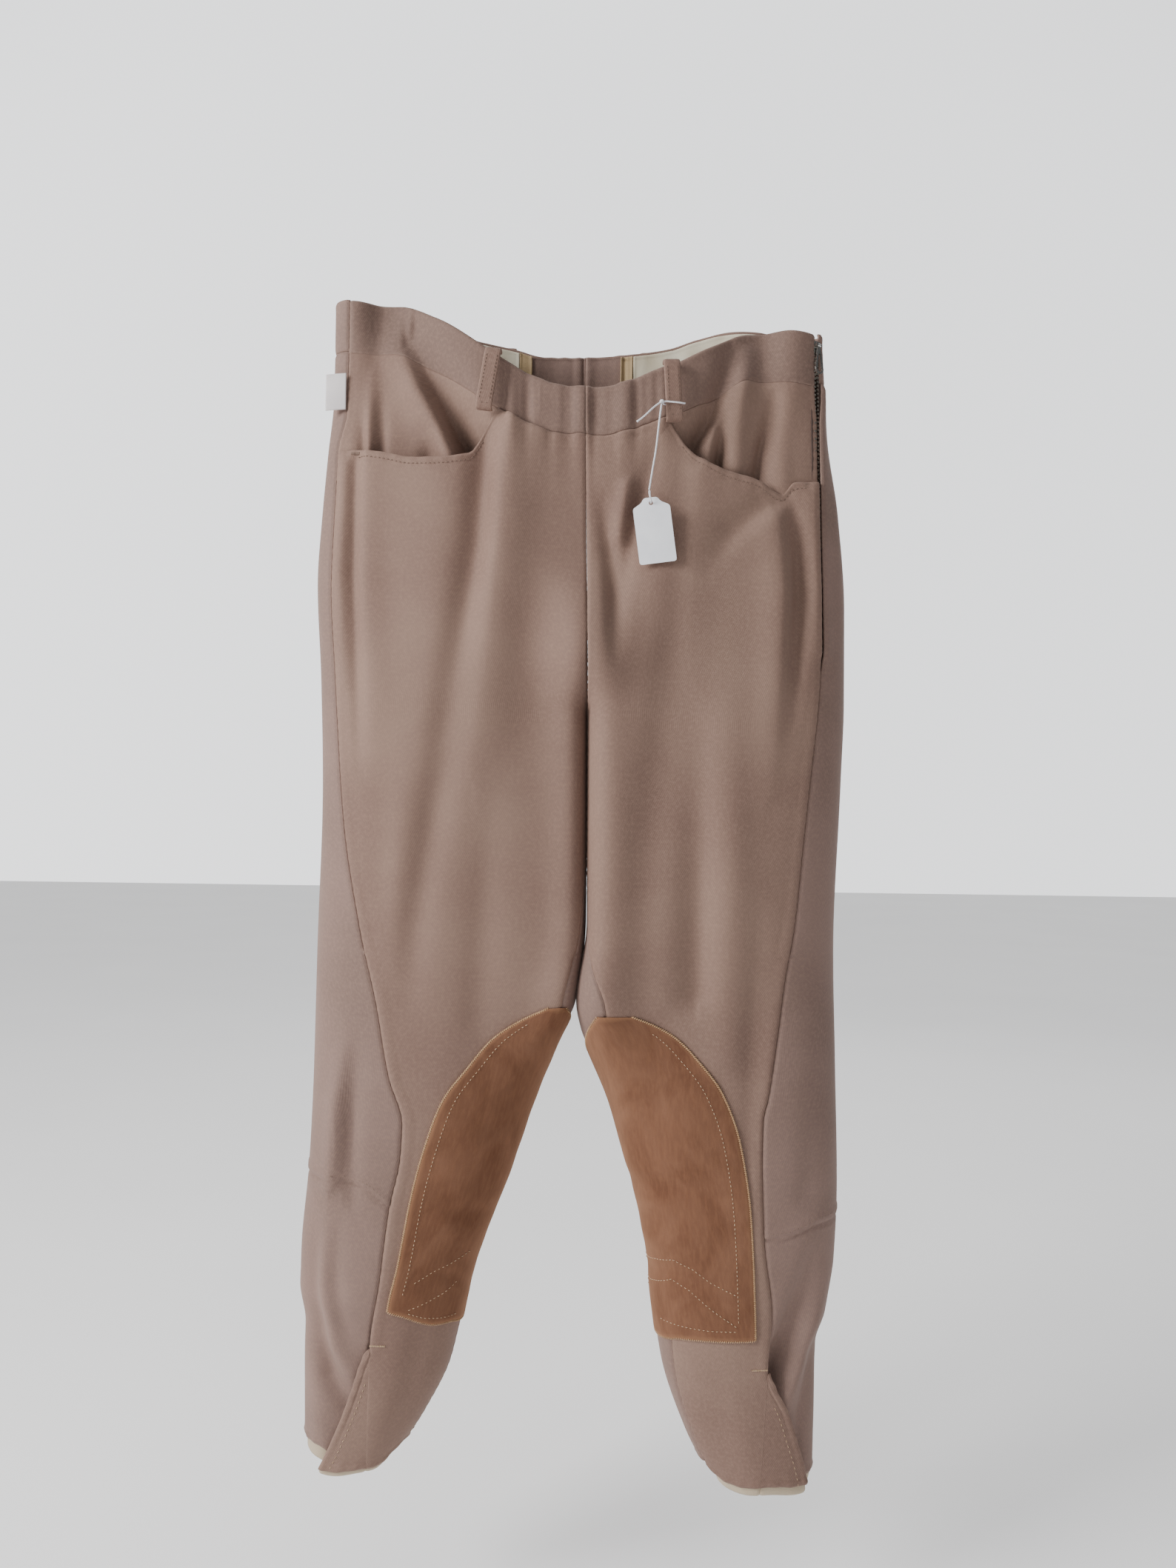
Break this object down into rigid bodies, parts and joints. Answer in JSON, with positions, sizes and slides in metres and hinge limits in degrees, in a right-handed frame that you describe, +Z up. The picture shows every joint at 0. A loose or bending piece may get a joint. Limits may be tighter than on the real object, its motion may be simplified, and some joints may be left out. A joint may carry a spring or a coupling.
{
  "type": "riding breeches",
  "caption": "Riding breeches in stretch twill with suede inner-knee patches, wide pocket mouths, a side zip and open hook-and-loop cuffs, with a strung price tag.",
  "frame": {"origin": "middle of the line between the two spots where the waistband's top edge is gripped to hang the garment", "axes": "+Z up along the hanging garment, the wearer's front faces -Y, +X is the wearer's left"},
  "size_m": [0.3888, 0.1063, 0.8579],
  "materials": {
    "twill_cloth": "matt stretch twill",
    "suede": "brushed suede nap",
    "cotton_lining": "plain woven cotton",
    "pocket_cotton": "plain woven cotton",
    "tan_tape": "woven tape",
    "elastic": "ribbed elastic",
    "zip_tape": "woven tape",
    "zip_metal": "bright worn metal",
    "label_cloth": "smooth woven label",
    "tag_card": "matt white card",
    "string": "twisted cotton",
    "hook_tape": "stiff plastic hooks",
    "loop_tape": "fuzzy loops"
  },
  "bodies": {
    "seat": {"elastic_end_tabs": "tan_tape", "front_waist_elastic": "elastic", "front_waistband": "twill_cloth", "left_back_belt_loop": "twill_cloth", "left_back_panel": "twill_cloth", "left_back_waistband": "twill_cloth", "left_front_belt_loop": "twill_cloth", "left_front_panel": "twill_cloth", "left_hip_fold": "twill_cloth", "left_pocket_bag": "pocket_cotton", "left_pocket_facing": "twill_cloth", "left_waistband_lining": "cotton_lining", "right_back_belt_loop": "twill_cloth", "right_back_panel": "twill_cloth", "right_back_waistband": "twill_cloth", "right_front_belt_loop": "twill_cloth", "right_front_panel": "twill_cloth", "right_hip_fold": "twill_cloth", "right_pocket_bag": "pocket_cotton", "right_pocket_facing": "twill_cloth", "right_waistband_lining": "cotton_lining", "tag_string_loop": "string", "zip_back_tape": "zip_tape", "zip_back_teeth": "zip_metal", "zip_bottom_stop": "zip_metal", "zip_front_tape": "zip_tape", "zip_front_teeth": "zip_metal", "zip_guard": "twill_cloth"},
    "right_thigh": {"right_back_thigh": "twill_cloth", "right_front_thigh": "twill_cloth", "right_knee_patch_upper": "suede"},
    "left_thigh": {"left_back_thigh": "twill_cloth", "left_front_thigh": "twill_cloth", "left_knee_patch_upper": "suede"},
    "right_shin": {"right_calf_hem_facing": "cotton_lining", "right_calf_panel": "twill_cloth", "right_front_shin": "twill_cloth", "right_hem_facing": "cotton_lining", "right_knee_fold": "twill_cloth", "right_knee_patch_lower": "suede", "right_loop_tape": "loop_tape"},
    "left_shin": {"left_calf_hem_facing": "cotton_lining", "left_calf_panel": "twill_cloth", "left_front_shin": "twill_cloth", "left_hem_facing": "cotton_lining", "left_knee_fold": "twill_cloth", "left_knee_patch_lower": "suede", "left_loop_tape": "loop_tape"},
    "right_flap": {"right_cuff_flap": "twill_cloth", "right_hook_tape": "hook_tape"},
    "left_flap": {"left_cuff_flap": "twill_cloth", "left_hook_tape": "hook_tape"},
    "slider": {"zip_slider": "zip_metal"},
    "pull": {"zip_pull": "zip_metal"},
    "string": {"tag_end_loop": "string", "tag_string": "string"},
    "tag": {"price_tag": "tag_card"},
    "label": {"side_label": "label_cloth"}
  },
  "joints": [
    {"name": "right_hip_swing", "type": "hinge", "parent": "seat", "child": "right_thigh", "pos_m": [0, 0, -0.34], "axis": [-1, 0, 0], "range_deg": [-20, 60], "deforming": ["right_hip_fold"]},
    {"name": "right_knee_bend", "type": "hinge", "parent": "right_thigh", "child": "right_shin", "pos_m": [0, -0.01, -0.599], "axis": [1, 0, 0], "range_deg": [0, 80], "deforming": ["right_knee_fold"]},
    {"name": "left_hip_swing", "type": "hinge", "parent": "seat", "child": "left_thigh", "pos_m": [0, 0, -0.34], "axis": [-1, 0, 0], "range_deg": [-20, 60], "deforming": ["left_hip_fold"]},
    {"name": "left_knee_bend", "type": "hinge", "parent": "left_thigh", "child": "left_shin", "pos_m": [0, -0.01, -0.599], "axis": [1, 0, 0], "range_deg": [0, 80], "deforming": ["left_knee_fold"]},
    {"name": "right_flap_peel", "type": "hinge", "parent": "right_shin", "child": "right_flap", "pos_m": [-0.139, -0.0384, -0.731], "axis": [0.0314, -0.117, 0.9926], "range_deg": [0, 100]},
    {"name": "left_flap_peel", "type": "hinge", "parent": "left_shin", "child": "left_flap", "pos_m": [0.14, -0.035, -0.745], "axis": [-0.0438, 0.0734, -0.9963], "range_deg": [0, 100]},
    {"name": "zip_slide", "type": "slide", "parent": "seat", "child": "slider", "axis": [0.007, -0.1004, -0.9949], "range_m": [0, 0.214]},
    {"name": "pull_tilt", "type": "hinge", "parent": "slider", "child": "pull", "pos_m": [0.16992, -0.00975, -0.01807], "axis": [-0.8133, -0.5795, 0.0527], "range_deg": [0, 150]},
    {"name": "string_swing", "type": "hinge", "parent": "seat", "child": "string", "pos_m": [0.0552, -0.0466, -0.072], "axis": [0, 1, 0], "range_deg": [-15, 15]},
    {"name": "tag_lift", "type": "hinge", "parent": "string", "child": "tag", "pos_m": [0.04836, -0.0516, -0.14336], "axis": [-0.9903, 0, -0.1392], "range_deg": [0, 40]},
    {"name": "label_flip", "type": "hinge", "parent": "seat", "child": "label", "pos_m": [-0.1686, -0.01635, -0.058], "axis": [0, 0, 1], "range_deg": [-4, 75]}
  ]
}
